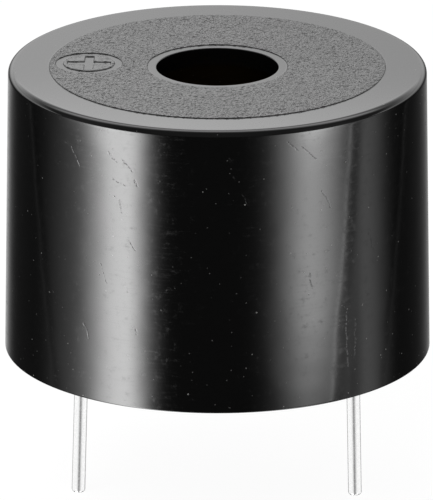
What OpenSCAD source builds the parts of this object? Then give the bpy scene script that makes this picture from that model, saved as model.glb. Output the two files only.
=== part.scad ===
// Self-driven piezo buzzer for a circuit board.
// The origin is the centre of the case's lower rim, which sits on the board.
// +Z is up through the sound hole, and +X points to the negative lead.

/* [Case] */
// Outside diameter of the case at its lower rim
case_base_d = 23.6; // [22.4:0.1:28]
// Outside diameter of the case at its top, smaller by the mould's draft
case_top_d = 23.1; // [21.6:0.1:25]
// Height of the case, from its lower rim to its smooth top
case_h = 16.1; // [15:0.1:24]
// Radius of the rounded top edge
case_edge_r = 0.35; // [0.1:0.05:0.8]
// Thickness of the side wall beside the diaphragm
side_wall = 1.5; // [1.2:0.1:1.9]
// Thickness of the top wall
top_wall = 1; // [0.8:0.1:1.8]
// Depth of the front chamber, between the top wall and the diaphragm
front_chamber_h = 3.25; // [2:0.25:3.75]
// Width of the ledge that carries the diaphragm's edge
ledge_w = 1.3; // [0.8:0.1:1.5]
// Width of the step that the circuit board sits against
board_step = 0.35; // [0.25:0.05:0.6]
// Bevel on the inner edge of the lower rim
rim_bevel = 0.2; // [0.1:0.05:0.3]

/* [Top] */
// Diameter of the sound hole
sound_hole_d = 6.74; // [3:0.02:7]
// Width of the smooth collar round the sound hole
collar_w = 0.5; // [0.3:0.02:0.8]
// Diameter of the raised, grained ring
grain_d = 18.54; // [18:0.02:19.2]
// Rise of the grained ring above the smooth top
grain_rise = 0.05; // [0.03:0.01:0.2]
// Distance of the plus mark from the case's axis, over the positive lead
mark_x = 7.1; // [6:0.1:7.1]
// Offset of the plus mark from the line of the leads
mark_y = 0.3; // [-0.5:0.05:0.5]
// Outside diameter of the ring round the plus mark
mark_d = 3.68; // [3:0.02:3.8]
// Width of the ring round the plus mark
mark_ring_w = 0.42; // [0.2:0.02:0.5]
// Length of each bar of the plus mark
plus_length = 2.4; // [1.5:0.1:2.6]
// Width of each bar of the plus mark
plus_w = 0.5; // [0.3:0.05:0.8]

/* [Leads] */
// Distance between the two leads
lead_pitch = 15; // [12:0.5:16]
// Diameter of each lead
lead_d = 0.75; // [0.5:0.05:1]
// Length of each lead below the lower rim
lead_length = 8.9; // [4:0.1:20]
// Rounding of the leads' ends
lead_tip_r = 0.15; // [0.05:0.05:0.2]
// Outward lean of the positive lead, in degrees
positive_splay = 1.6; // [0:0.1:3]
// Outward lean of the negative lead, in degrees
negative_splay = 1.1; // [0:0.1:3]
// Diameter of the collar that stops each lead under the board
lead_collar_d = 1.5; // [1.3:0.1:2]
// Length by which each collar stands out of the seal
lead_collar_out = 0.1; // [0.05:0.05:0.3]
// Length of each lead above the board
lead_stub = 0.9; // [0.5:0.1:1.5]

/* [Diaphragm] */
// Gap between the diaphragm's edge and the case
diaphragm_gap = 0.1; // [0.05:0.05:0.2]
// Thickness of the brass disc
brass_t = 0.2; // [0.1:0.05:0.4]
// Diameter of the ceramic disc
ceramic_d = 14; // [12:0.5:14.5]
// Thickness of the ceramic disc
ceramic_t = 0.2; // [0.1:0.05:0.4]
// Thickness of the fired silver
silver_t = 0.05; // [0.03:0.01:0.08]
// Bare edge round the silver
silver_margin = 0.4; // [0.2:0.1:0.6]
// Width of the feedback electrode's tongue
tongue_w = 2.6; // [2:0.2:3.2]
// Distance from the ceramic's centre to the middle of the tongue's round end
tongue_reach = 4; // [3:0.25:4.5]
// Bare gap between the two electrodes
tongue_gap = 0.45; // [0.3:0.05:0.8]
// Height of the silicone bead under the diaphragm's edge
bead_h = 0.65; // [0.3:0.05:1]
// Width of the silicone bead on the diaphragm
bead_w = 0.7; // [0.4:0.05:0.8]

/* [Board and seal] */
// Thickness of the circuit board
board_t = 1.6; // [0.8:0.1:1.8]
// Gap between the circuit board's edge and the case
board_gap = 0.08; // [0.04:0.02:0.2]
// Thickness of the copper tracks
copper_t = 0.05; // [0.03:0.01:0.08]
// Width of the copper tracks
track_w = 0.8; // [0.4:0.1:1]
// Diameter of the copper pad at each component wire and at each bend of a track
pad_d = 1.1; // [0.95:0.05:1.2]
// Diameter of the solder joint on such a pad
joint_d = 0.9; // [0.8:0.05:0.95]
// Diameter of the solder joint and pad at each lead
lead_joint_d = 1.9; // [1.5:0.1:2.4]
// Thickness of solder left round a wire at a joint's tip
joint_skin = 0.12; // [0.08:0.02:0.16]
// Gap between a component's wire and its hole in the board
hole_gap = 0.1; // [0.05:0.05:0.2]
// Thickness of the cast resin seal, with the foil
seal_t = 0.8; // [0.8:0.1:1.2]
// Depth of the seal's surface inside the lower rim
seal_recess = 0.5; // [0.4:0.1:0.8]
// Radius of the resin's creep up the case wall
seal_creep = 0.18; // [0.1:0.02:0.2]
// Height of the solder joints under the board
joint_h = 0.6; // [0.4:0.05:0.65]
// Length of the component wires below the board
wire_out = 0.45; // [0.3:0.05:0.5]

/* [Components] */
// Diameter of the choke's ferrite drum
choke_d = 6.4; // [5:0.2:6.6]
// Height of the choke's ferrite drum
choke_h = 5.4; // [4:0.2:5.6]
// Thickness of the drum's two flanges
choke_flange_t = 1; // [0.6:0.1:1.4]
// Diameter of the drum's waist
choke_waist_d = 3; // [2:0.2:3.6]
// Depth of the winding below the drum's flanges
winding_inset = 0.35; // [0.2:0.05:0.6]
// Distance between the choke's two wires
choke_pitch = 5; // [4:0.5:5]
// Diameter of the transistor's body
transistor_d = 4.6; // [4:0.1:4.8]
// Height of the transistor's body
transistor_h = 4.6; // [4:0.1:5]
// Distance from the transistor's axis to its flat front
transistor_flat = 1.3; // [1:0.1:1.6]
// Height of the transistor's body above the board
transistor_lift = 1.6; // [1:0.2:2.2]
// Distance between the transistor's leads
transistor_pitch = 1.27; // [1.1:0.01:1.3]
// Length of a resistor's body
resistor_length = 3.4; // [2.6:0.2:3.6]
// Diameter of a resistor's body between its ends
resistor_d = 1.6; // [1.2:0.1:1.8]
// Diameter of a resistor's two ends
resistor_cap_d = 1.9; // [1.8:0.1:2.1]
// Distance between a resistor's holes
resistor_pitch = 6; // [5.8:0.1:6.2]
// Gap under a resistor
resistor_lift = 0.15; // [0.1:0.05:0.3]
// Diameter of the capacitor's disc
capacitor_d = 4.4; // [3.6:0.2:4.8]
// Thickness of the capacitor's disc
capacitor_t = 2; // [1.6:0.1:2.4]
// Height of the capacitor's disc above the board
capacitor_lift = 1; // [0.4:0.2:1.6]
// Distance between the capacitor's leads
capacitor_pitch = 2.5; // [2:0.5:2.5]
// Gap between the choke and the case wall
choke_wall_gap = 2.3; // [1.6:0.1:2.6]
// Gap between the transistor's body and the case wall
transistor_wall_gap = 1.08; // [0.8:0.02:1.4]
// Gap between the resistors' outer wires and the case wall, on the board
resistor_wall_gap = 2.1; // [1.6:0.1:2.2]
// Gap between the two resistors
resistor_spacing = 1.1; // [0.8:0.1:1.2]
// Gap between the capacitor's corners and the case wall
capacitor_wall_gap = 0.24; // [0.2:0.02:0.4]
// Inset of the outer tracks' middle line from the case wall
edge_track_inset = 1.4; // [1.3:0.05:1.5]
// Diameter of the components' wires
wire_d = 0.45; // [0.3:0.05:0.5]
// Outside diameter of the insulated wires
sleeve_d = 0.8; // [0.7:0.05:0.9]
// Bare length of the insulated wires above the board
strip_length = 0.8; // [0.6:0.1:1.2]
// Radius of the bend in the insulated wires, at the wire's middle
wire_bend_r = 0.8; // [0.6:0.05:0.85]
// Gap between the insulated wires and the face that they lie under
wire_gap = 0.05; // [0.02:0.01:0.1]
// Gap between the wire to the brass disc and the case wall, on the board
plate_wire_gap = 2.04; // [1.8:0.02:2.2]
// Gap between the feedback wire and the case wall, on the board
feedback_wire_gap = 1.38; // [1.2:0.02:1.5]
// Place of the drive wire's hole towards the negative lead
drive_hole_x = 4.6; // [4.4:0.1:4.8]
// Place of the drive wire's hole off the line of the leads
drive_hole_y = 1; // [0.8:0.1:1.2]
// Place of the drive wire's joint on the main electrode
drive_end_x = 2.8; // [2:0.1:3]
// Diameter of the solder joints on the diaphragm
dome_d = 1.5; // [1.4:0.05:1.6]
// Height of the solder joints on the diaphragm
dome_h = 0.75; // [0.72:0.01:0.8]

/* [Hidden] */
$fn = 64;
// Overrun of a cut past the face that it leaves
cut = 1;

// Levels, from the lower rim upwards
board_z = seal_recess + seal_t;
board_top = board_z + board_t;
copper_z = board_z - copper_t;
roof_z = case_h - top_wall;
ledge_z = roof_z - front_chamber_h;
brass_z = ledge_z - brass_t;
ceramic_z = brass_z - ceramic_t;
silver_z = ceramic_z - silver_t;
lead_collar_z = seal_recess - lead_collar_out;
lead_root_z = (lead_collar_z + copper_z) / 2;
wire_drop = sleeve_d / 2 + wire_gap;
// Length by which a bare wire runs on inside its sleeve
wire_grip = 0.2;

// Radii, from the case's axis outwards
base_r = case_base_d / 2;
top_r = case_top_d / 2;
draft = atan((base_r - top_r) / case_h);
chamber_r = base_r - ledge_z * tan(draft) - side_wall;
front_r = chamber_r - ledge_w;
pocket_r = chamber_r + board_step;
brass_r = chamber_r - diaphragm_gap;
silver_r = ceramic_d / 2 - silver_margin;
board_r = pocket_r - board_gap;
collar_r = sound_hole_d / 2 + collar_w;

// Places on the board, seen from above: each is an angle and a distance in from the case wall
function from_wall(angle, inset) = (chamber_r - inset) * [cos(angle), sin(angle)];
positive_at = [-lead_pitch / 2, 0];
negative_at = [lead_pitch / 2, 0];
choke_at = from_wall(90, choke_wall_gap + choke_d / 2);
choke_a = choke_at - [choke_pitch / 2, 0];
choke_b = choke_at + [choke_pitch / 2, 0];
transistor_at = from_wall(-53.5, transistor_wall_gap + transistor_d / 2);
collector_at = transistor_at - [transistor_pitch, 0];
emitter_at = transistor_at + [transistor_pitch, 0];
feedback_a = from_wall(-136, resistor_wall_gap + wire_d / 2);
feedback_at = feedback_a + [resistor_pitch / 2, 0];
feedback_b = feedback_at + [resistor_pitch / 2, 0];
bias_at = feedback_at + [0, resistor_cap_d + resistor_spacing];
bias_a = bias_at - [resistor_pitch / 2, 0];
bias_b = bias_at + [resistor_pitch / 2, 0];
capacitor_at = from_wall(143.8, capacitor_wall_gap + norm([capacitor_t, capacitor_d]) / 2);
capacitor_a = capacitor_at - [0, capacitor_pitch / 2];
capacitor_b = capacitor_at + [0, capacitor_pitch / 2];
capacitor_z = board_top + capacitor_lift + capacitor_d / 2;
drive_hole = [drive_hole_x, drive_hole_y];
plate_hole = from_wall(49.2, plate_wire_gap + sleeve_d / 2);
feedback_hole = from_wall(-108.2, feedback_wire_gap + sleeve_d / 2);

// Places on the diaphragm
drive_end = [drive_end_x, 0];
plate_end = (ceramic_d / 2 + chamber_r - bead_w) / 2 * [cos(30), sin(30)];
feedback_end = [0, -(tongue_reach + silver_r) / 2];

// Every hole for a thin wire, and the copper that joins them
THIN_HOLES = [choke_a, choke_b, transistor_at, collector_at, emitter_at, bias_a, bias_b,
    feedback_a, feedback_b, capacitor_a, capacitor_b, drive_hole, plate_hole, feedback_hole];
LEAD_HOLES = [positive_at, negative_at];
PLUS_NET = [bias_a, positive_at, capacitor_a, choke_a];
MINUS_NET = [emitter_at, negative_at, plate_hole, from_wall(67, edge_track_inset),
    from_wall(114, edge_track_inset), capacitor_b];
DRIVE_NET = [choke_b, drive_hole, collector_at];
BASE_NET = [bias_b, feedback_b, from_wall(-81, edge_track_inset), from_wall(-62.5, edge_track_inset),
    transistor_at];
FEEDBACK_NET = [feedback_a, feedback_hole];
NETS = [PLUS_NET, MINUS_NET, DRIVE_NET, BASE_NET, FEEDBACK_NET];

// ---- Shapes used by several pieces ----

// Copies its child to each place in a list, at one level
module at_each(places, z) {
    for (p = places) translate([p[0], p[1], z]) children();
}

// Flat ring
module ring(outer_r, inner_r, h) {
    difference() {
        cylinder(r = outer_r, h = h);
        translate([0, 0, -cut]) cylinder(r = inner_r, h = h + 2 * cut);
    }
}

// Upright wire from one level to another
module post(at, low, high, d = wire_d) {
    translate([at[0], at[1], low]) cylinder(d = d, h = high - low);
}

// Bend of a round wire that starts straight up at the origin and turns towards +X
module bend(d, bend_r, sweep) {
    translate([bend_r, 0, 0]) rotate([90, 0, 0]) rotate([0, 0, 180])
        rotate_extrude(angle = -sweep) translate([bend_r, 0]) circle(d = d);
}

// Joint of solder under the board, before the wire is taken out of it
module joint_blank() {
    mirror([0, 0, 1]) cylinder(r1 = joint_d / 2, r2 = wire_d / 2 + joint_skin, h = joint_h);
}

// ---- Case ----

// Half section of the case, with a rounded top edge tangent to its drafted side and the
// raised ring on its top
module case_section() {
    corner_z = case_h - case_edge_r;
    corner_x = base_r - corner_z * tan(draft) - case_edge_r / cos(draft);
    tangent = [corner_x, corner_z] + case_edge_r * [cos(draft), sin(draft)];
    hole_r = sound_hole_d / 2;
    ring_top = case_h + grain_rise;
    polygon([[pocket_r + rim_bevel, 0], [base_r, 0], tangent, [corner_x, corner_z],
        [corner_x, case_h], [grain_d / 2, case_h], [grain_d / 2, ring_top],
        [collar_r, ring_top], [collar_r, case_h], [hole_r, case_h], [hole_r, roof_z],
        [front_r, roof_z], [front_r, ledge_z], [chamber_r, ledge_z], [chamber_r, board_top],
        [pocket_r, board_top], [pocket_r, rim_bevel]]);
    translate([corner_x, corner_z]) circle(r = case_edge_r);
}

// Sunken plus mark and the ring round it
module mark_outline() {
    translate([-mark_x, mark_y]) {
        difference() {
            circle(d = mark_d);
            circle(d = mark_d - 2 * mark_ring_w);
        }
        square([plus_length, plus_w], center = true);
        square([plus_w, plus_length], center = true);
    }
}

// One moulding, with the mark sunk through the raised ring to the smooth top
module housing() {
    color("#161616") difference() {
        rotate_extrude() case_section();
        translate([0, 0, case_h]) linear_extrude(grain_rise + cut) mark_outline();
    }
}

// ---- Leads ----

// Round wire with a rounded lower end, hanging from the origin
module lead_wire() {
    r = lead_d / 2;
    length = lead_length + lead_root_z;
    rotate_extrude() translate([0, -length]) {
        translate([0, lead_tip_r]) square([r, length - lead_tip_r]);
        square([r - lead_tip_r, length]);
        translate([r - lead_tip_r, lead_tip_r]) intersection() {
            circle(r = lead_tip_r);
            translate([0, -lead_tip_r]) square(lead_tip_r);
        }
    }
}

// A lead with its collar and its stub through the board, leaning towards +X by an angle
module lead(at, lean) {
    color("#c9cbcc") translate([at[0], at[1], 0]) {
        translate([0, 0, lead_root_z]) rotate([0, -lean, 0]) lead_wire();
        translate([0, 0, lead_collar_z])
            cylinder(d = lead_collar_d, h = copper_z - lead_collar_z);
        translate([0, 0, lead_collar_z])
            cylinder(d = lead_d, h = board_top + lead_stub - lead_collar_z);
    }
}

module positive_lead() {
    lead(positive_at, -positive_splay);
}

module negative_lead() {
    lead(negative_at, negative_splay);
}

// Solder round each lead, on top of the board
module lead_solder() {
    color("#b4b6b5") at_each(LEAD_HOLES, board_top) difference() {
        cylinder(r1 = lead_joint_d / 2, r2 = lead_d / 2 + joint_skin, h = lead_stub - joint_skin);
        translate([0, 0, -cut]) cylinder(d = lead_d, h = lead_stub + 2 * cut);
    }
}

// ---- Diaphragm ----

module diaphragm_plate() {
    color("#c8a24a") translate([0, 0, brass_z]) cylinder(r = brass_r, h = brass_t);
}

module piezo_ceramic() {
    color("#d9d2bd") translate([0, 0, ceramic_z]) cylinder(d = ceramic_d, h = ceramic_t);
}

// Outline of the feedback tongue, widened by a margin
module tongue_outline(margin) {
    r = tongue_w / 2 + margin;
    translate([0, -tongue_reach]) circle(r = r);
    translate([-r, -ceramic_d]) square([2 * r, ceramic_d - tongue_reach]);
}

module main_electrode() {
    color("#d8d8d4") translate([0, 0, silver_z]) linear_extrude(silver_t) difference() {
        circle(r = silver_r);
        tongue_outline(tongue_gap);
    }
}

module feedback_electrode() {
    color("#d8d8d4") translate([0, 0, silver_z]) linear_extrude(silver_t) intersection() {
        circle(r = silver_r);
        tongue_outline(0);
    }
}

// Silicone bead in the corner under the diaphragm's edge
module diaphragm_adhesive() {
    color("#e6e6e0") rotate_extrude()
        polygon([[chamber_r, brass_z], [chamber_r - bead_w, brass_z], [chamber_r, brass_z - bead_h]]);
}

// ---- Board ----

module circuit_board() {
    color("#2f6b3c") translate([0, 0, board_z]) difference() {
        cylinder(r = board_r, h = board_t);
        at_each(THIN_HOLES, -cut) cylinder(d = wire_d + 2 * hole_gap, h = board_t + 2 * cut);
        at_each(LEAD_HOLES, -cut) cylinder(d = lead_d + 2 * hole_gap, h = board_t + 2 * cut);
    }
}

// Straight track between two places
module track(from, to) {
    run = to - from;
    translate(from) rotate(atan2(run[1], run[0])) translate([0, -track_w / 2])
        square([norm(run), track_w]);
}

// Joined track along a list of places, with a round pad at each
module net_outline(places) {
    for (i = [0 : len(places) - 2]) track(places[i], places[i + 1]);
    for (p = places) translate(p) circle(d = pad_d);
}

module copper_tracks() {
    color("#b87333") translate([0, 0, copper_z]) linear_extrude(copper_t) difference() {
        union() {
            for (net = NETS) net_outline(net);
            for (p = LEAD_HOLES) translate(p) circle(d = lead_joint_d);
        }
        for (p = THIN_HOLES) translate(p) circle(d = wire_d + 2 * hole_gap);
        for (p = LEAD_HOLES) translate(p) circle(d = lead_d + 2 * hole_gap);
    }
}

module board_solder() {
    color("#b4b6b5") difference() {
        at_each(THIN_HOLES, copper_z) joint_blank();
        at_each(THIN_HOLES, board_z - wire_out) cylinder(d = wire_d, h = wire_out + cut);
    }
}

// Cast resin under the foil, with a creep up the case wall
module base_seal() {
    color("#1d1d1f") difference() {
        rotate_extrude() polygon([[0, copper_z], [0, seal_recess],
            [pocket_r - seal_creep, seal_recess], [pocket_r, seal_recess - seal_creep],
            [pocket_r, copper_z]]);
        at_each(THIN_HOLES, copper_z) joint_blank();
        at_each(LEAD_HOLES, 0) cylinder(d = lead_collar_d, h = board_z);
    }
}

// ---- Components ----

// Ferrite drum: two flanges on a waist
module choke_core() {
    color("#3b3b3d") translate([choke_at[0], choke_at[1], board_top]) {
        cylinder(d = choke_d, h = choke_flange_t);
        cylinder(d = choke_waist_d, h = choke_h);
        translate([0, 0, choke_h - choke_flange_t]) cylinder(d = choke_d, h = choke_flange_t);
    }
}

module choke_winding() {
    color("#9c4a24") translate([choke_at[0], choke_at[1], board_top + choke_flange_t])
        ring(choke_d / 2 - winding_inset, choke_waist_d / 2, choke_h - 2 * choke_flange_t);
}

module choke_leads() {
    color("#c9cbcc") {
        post(choke_a, board_z - wire_out, board_top);
        post(choke_b, board_z - wire_out, board_top);
    }
}

// D-shaped body with its flat towards -Y
module transistor_body() {
    color("#202022") translate([transistor_at[0], transistor_at[1], board_top + transistor_lift])
        intersection() {
            cylinder(d = transistor_d, h = transistor_h);
            translate([-transistor_d, -transistor_flat, 0])
                cube([transistor_d + transistor_d, transistor_d, transistor_h]);
        }
}

module transistor_leads() {
    color("#c9cbcc") for (at = [collector_at, transistor_at, emitter_at])
        post(at, board_z - wire_out, board_top + transistor_lift);
}

// Axial resistor lying along X, with a thicker end at each side
module resistor(at, band) {
    cap_length = resistor_length / 4;
    color(band) translate([at[0], at[1], board_top + resistor_lift + resistor_cap_d / 2])
        rotate([0, 90, 0]) {
            cylinder(d = resistor_d, h = resistor_length, center = true);
            for (side = [-1, 1]) translate([0, 0, side * (resistor_length - cap_length) / 2])
                cylinder(d = resistor_cap_d, h = cap_length, center = true);
        }
}

// The resistor's two wires, each bent down into its hole
module resistor_wires(at) {
    axis_z = board_top + resistor_lift + resistor_cap_d / 2;
    bend_r = resistor_lift + resistor_cap_d / 2;
    reach = resistor_pitch / 2 - bend_r;
    color("#c9cbcc") for (side = [-1, 1]) translate([at[0], at[1], 0])
        mirror([side < 0 ? 0 : 1, 0, 0]) {
            post([-resistor_pitch / 2, 0], board_z - wire_out, board_top);
            translate([-resistor_pitch / 2, 0, board_top]) bend(wire_d, bend_r, 90);
            translate([-reach, 0, axis_z]) rotate([0, 90, 0])
                cylinder(d = wire_d, h = reach - resistor_length / 2);
        }
}

module bias_resistor() {
    resistor(bias_at, "#c8ad7f");
}

module bias_resistor_leads() {
    resistor_wires(bias_at);
}

module feedback_resistor() {
    resistor(feedback_at, "#c8ad7f");
}

module feedback_resistor_leads() {
    resistor_wires(feedback_at);
}

// Ceramic disc on edge, with its two leads running up into it
module supply_capacitor() {
    color("#b5651d") difference() {
        translate([capacitor_at[0], capacitor_at[1], capacitor_z]) rotate([0, 90, 0])
            cylinder(d = capacitor_d, h = capacitor_t, center = true);
        supply_capacitor_leads();
    }
}

module supply_capacitor_leads() {
    color("#c9cbcc") for (at = [capacitor_a, capacitor_b])
        post(at, board_z - wire_out, capacitor_z);
}

// Path of an insulated wire in its own frame: up from its hole, bent, and along under a face
module wire_path(d, low, top, far) {
    post([0, 0], low, top - wire_bend_r, d);
    translate([0, 0, top - wire_bend_r]) bend(d, wire_bend_r, 90);
    translate([wire_bend_r, 0, top]) rotate([0, 90, 0]) cylinder(d = d, h = far - wire_bend_r);
}

// Bare end of an insulated wire, lying in its solder dome
module bare_end(from, to, face_z) {
    run = to - from;
    across = norm(run);
    reach = dome_d / 2 + wire_grip;
    translate([from[0], from[1], face_z - wire_drop]) rotate([0, 0, atan2(run[1], run[0])])
        translate([across - reach, 0, 0]) rotate([0, 90, 0])
            cylinder(d = wire_d, h = reach + dome_d / 4);
}

// Insulated wire from a hole in the board to a place under the diaphragm
module hookup_wire(from, to, face_z, sleeve) {
    run = to - from;
    color("#c9cbcc") {
        post(from, board_z - wire_out, board_top + strip_length + wire_grip);
        bare_end(from, to, face_z);
    }
    color(sleeve) translate([from[0], from[1], 0]) rotate([0, 0, atan2(run[1], run[0])])
        wire_path(sleeve_d, board_top + strip_length, face_z - wire_drop,
            norm(run) - dome_d / 2);
}

module drive_wire() {
    hookup_wire(drive_hole, drive_end, silver_z, "#b3261e");
}

module plate_wire() {
    hookup_wire(plate_hole, plate_end, brass_z, "#222222");
}

module feedback_wire() {
    hookup_wire(feedback_hole, feedback_end, silver_z, "#2d5fa8");
}

// Dome of solder hanging from a face, with the wire's bare end taken out of it
module solder_dome(from, to, face_z) {
    sphere_r = (dome_d * dome_d / 4 + dome_h * dome_h) / (2 * dome_h);
    difference() {
        translate([to[0], to[1], face_z]) intersection() {
            translate([0, 0, sphere_r - dome_h]) sphere(r = sphere_r);
            translate([-dome_d, -dome_d, -dome_h]) cube([2 * dome_d, 2 * dome_d, dome_h]);
        }
        bare_end(from, to, face_z);
    }
}

module diaphragm_solder() {
    color("#b4b6b5") {
        solder_dome(drive_hole, drive_end, silver_z);
        solder_dome(plate_hole, plate_end, brass_z);
        solder_dome(feedback_hole, feedback_end, silver_z);
    }
}

housing();
positive_lead();
negative_lead();
diaphragm_plate();
piezo_ceramic();
main_electrode();
feedback_electrode();
diaphragm_adhesive();
circuit_board();
copper_tracks();
choke_core();
choke_winding();
choke_leads();
transistor_body();
transistor_leads();
bias_resistor();
bias_resistor_leads();
feedback_resistor();
feedback_resistor_leads();
supply_capacitor();
supply_capacitor_leads();
drive_wire();
plate_wire();
feedback_wire();
diaphragm_solder();
board_solder();
lead_solder();
base_seal();
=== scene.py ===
# %% [markdown]
# # A piezo buzzer for a circuit board
# The real object is a small black cup of moulded ABS, about 24 mm across, with two tinned wires
# under it. A round hole in its top lets the sound out. The sizes and the inner parts come from
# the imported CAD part. This lesson adds what CAD leaves plain: light, rounded edges, finish,
# grain and wear.

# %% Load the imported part
import math
import bmesh
import bpy
import numpy as np
from mathutils import Matrix, Vector, noise
from mathutils.geometry import delaunay_2d_cdt


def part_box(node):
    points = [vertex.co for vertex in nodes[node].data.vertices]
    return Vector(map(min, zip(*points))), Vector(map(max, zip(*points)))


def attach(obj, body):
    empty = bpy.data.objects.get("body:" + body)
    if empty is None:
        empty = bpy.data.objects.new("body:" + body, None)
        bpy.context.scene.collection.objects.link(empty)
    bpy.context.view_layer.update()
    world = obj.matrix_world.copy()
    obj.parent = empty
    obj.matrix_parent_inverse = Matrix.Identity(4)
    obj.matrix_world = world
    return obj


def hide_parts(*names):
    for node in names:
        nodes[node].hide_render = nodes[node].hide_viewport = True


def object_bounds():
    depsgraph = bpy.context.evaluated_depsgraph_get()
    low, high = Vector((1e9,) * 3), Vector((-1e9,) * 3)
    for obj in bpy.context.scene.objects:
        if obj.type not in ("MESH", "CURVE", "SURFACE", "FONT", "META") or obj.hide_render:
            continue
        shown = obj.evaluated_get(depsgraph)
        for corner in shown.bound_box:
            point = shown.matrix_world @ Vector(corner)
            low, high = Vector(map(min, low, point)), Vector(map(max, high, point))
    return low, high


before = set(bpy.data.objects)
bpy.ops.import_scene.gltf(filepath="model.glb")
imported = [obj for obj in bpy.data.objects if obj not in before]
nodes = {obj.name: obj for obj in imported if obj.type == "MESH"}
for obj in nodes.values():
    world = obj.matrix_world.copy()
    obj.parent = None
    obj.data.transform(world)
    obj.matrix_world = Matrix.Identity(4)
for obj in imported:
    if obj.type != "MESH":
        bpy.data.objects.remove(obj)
cad_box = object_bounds()
MM = 0.001
box_mm = [[round(v / MM, 2) for v in corner] for corner in cad_box]
print("nodes:", len(nodes), "box in mm:", box_mm)

# %% [markdown]
# ## The camera
# A product shot of a small part is taken from far away with a long lens, so its sides stay almost
# parallel. The camera is put on a sphere round the part: an angle round it, an angle above it and
# a distance. Its three axes are worked out and written into one matrix, which can't flip over as
# a tracking constraint can.

# %% Camera
VIEW_AROUND = math.radians(1.75)
VIEW_ABOVE = math.radians(18.826)
VIEW_DISTANCE = 600 * MM
VIEW_CENTRE = Vector((-0.05 * MM, 0, 5.417 * MM))
PIXELS_PER_MM = 18.033
FRAME_HEIGHT = 500

towards = Vector((math.sin(VIEW_AROUND) * math.cos(VIEW_ABOVE),
                  -math.cos(VIEW_AROUND) * math.cos(VIEW_ABOVE), math.sin(VIEW_ABOVE)))
rightwards = Vector((math.cos(VIEW_AROUND), math.sin(VIEW_AROUND), 0))
upwards = towards.cross(rightwards)
lens = bpy.data.cameras.new("long_lens")
lens.sensor_fit = "VERTICAL"
lens.sensor_height = 36
lens.lens = PIXELS_PER_MM * VIEW_DISTANCE / MM / FRAME_HEIGHT * lens.sensor_height
lens.clip_start, lens.clip_end = 0.01, 20
camera = bpy.data.objects.new("camera", lens)
bpy.context.scene.collection.objects.link(camera)
axes = Matrix((rightwards, upwards, towards)).transposed().to_4x4()
camera.matrix_world = Matrix.Translation(VIEW_CENTRE + towards * VIEW_DISTANCE) @ axes
bpy.context.scene.camera = camera
bpy.context.scene.view_settings.view_transform = "Standard"
print("lens in mm:", round(lens.lens, 1))

# %% [markdown]
# ## Small helpers
# Colours are given as sRGB hex values, but Blender mixes light in linear numbers, so one
# function turns the first into the second. Another adds a shader node: its properties and its
# inputs are given by name, and an input that is another node's output becomes a link. The others
# build on that one: a smooth step between two values, a bell curve, and the compass angle of a
# place.

# %% Helpers for colours and nodes
def linear(hex_colour, alpha=1.0):
    channels = [int(hex_colour[i:i + 2], 16) / 255 for i in (1, 3, 5)]
    return [c / 12.92 if c <= 0.04045 else ((c + 0.055) / 1.055) ** 2.4 for c in channels] + [alpha]


def add_node(tree, kind, inputs=None, **settings):
    """An input is a value, a socket, or a node whose first output it takes."""
    node = tree.nodes.new("ShaderNode" + kind)
    for name, value in settings.items():
        setattr(node, name, value)
    for name, value in (inputs or {}).items():
        if isinstance(value, bpy.types.Node):
            value = value.outputs[0]
        if isinstance(value, bpy.types.NodeSocket):
            tree.links.new(value, node.inputs[name])
        else:
            node.inputs[name].default_value = value
    return node


def rise(tree, value, start, end, low=0.0, high=1.0):
    """Goes smoothly from low to high as the value goes from start to end."""
    return add_node(tree, "MapRange", {"Value": value, "From Min": start, "From Max": end,
                                       "To Min": low, "To Max": high},
                    interpolation_type="SMOOTHSTEP").outputs[0]


def hump(tree, value, centre, fade_before, fade_after):
    """A bell curve that fades at its own rate on each side of its centre."""
    off = add_node(tree, "Math", {0: value, 1: centre}, operation="SUBTRACT")
    before = add_node(tree, "Math", {0: off, 1: 0.0}, operation="MINIMUM")
    before = add_node(tree, "Math", {0: before, 1: fade_before}, operation="DIVIDE")
    after = add_node(tree, "Math", {0: off, 1: 0.0}, operation="MAXIMUM")
    after = add_node(tree, "Math", {0: after, 1: fade_after}, operation="DIVIDE")
    spread = add_node(tree, "Math", {0: before, 1: after}, operation="ADD")
    spread = add_node(tree, "Math", {0: spread, 1: 2.0}, operation="POWER")
    spread = add_node(tree, "Math", {0: spread, 1: -0.5}, operation="MULTIPLY")
    return add_node(tree, "Math", {0: spread}, operation="EXPONENT")


def compass_angle(tree, spot):
    """Angle of a place round the upright axis, zero at the front and positive to its right."""
    backwards = add_node(tree, "Math", {0: spot.outputs["Y"], 1: -1.0}, operation="MULTIPLY")
    return add_node(tree, "Math", {0: spot.outputs["X"], 1: backwards}, operation="ARCTAN2")


def new_material(name):
    """An empty node material and its tree."""
    material = bpy.data.materials.new(name)
    material.use_nodes = True
    material.node_tree.nodes.clear()
    return material, material.node_tree


print("white is", [round(c, 3) for c in linear("#ffffff")])

# %% [markdown]
# ## The studio
# Glossy black plastic has almost no colour of its own: what the eye reads is the room that it
# mirrors. Product photographers stand such a part between two bright strips with dark cards in
# front, and a white backdrop behind. Here the world is that room. A ray that mirrors off the part
# finds the strips by its compass direction, the camera finds plain white, and a scattered ray
# finds an even soft light.

# %% Sizes of the room
DARK_ROOM = 0.055
SOFT_LIGHT = 0.65
# Each glow stands in one compass direction, in degrees from the front with the left negative:
# direction, brightness, and how far it fades to its left and to its right
GLOWS = [(-49, 11.9, 11.9, 7.3), (-61.3, 1.64, 14.7, 5), (53.8, 5.55, 10.7, 12.3),
         (89.5, 0.88, 4.6, 9.9), (-90, 0.18, 9.7, 6), (-170, 0.88, 18.5, 10.1)]
# The glows stand low. Their height is the upward share of a direction: none at the first, full at
# the second
GLOW_END, GLOW_FULL = -0.05, -0.17
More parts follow.
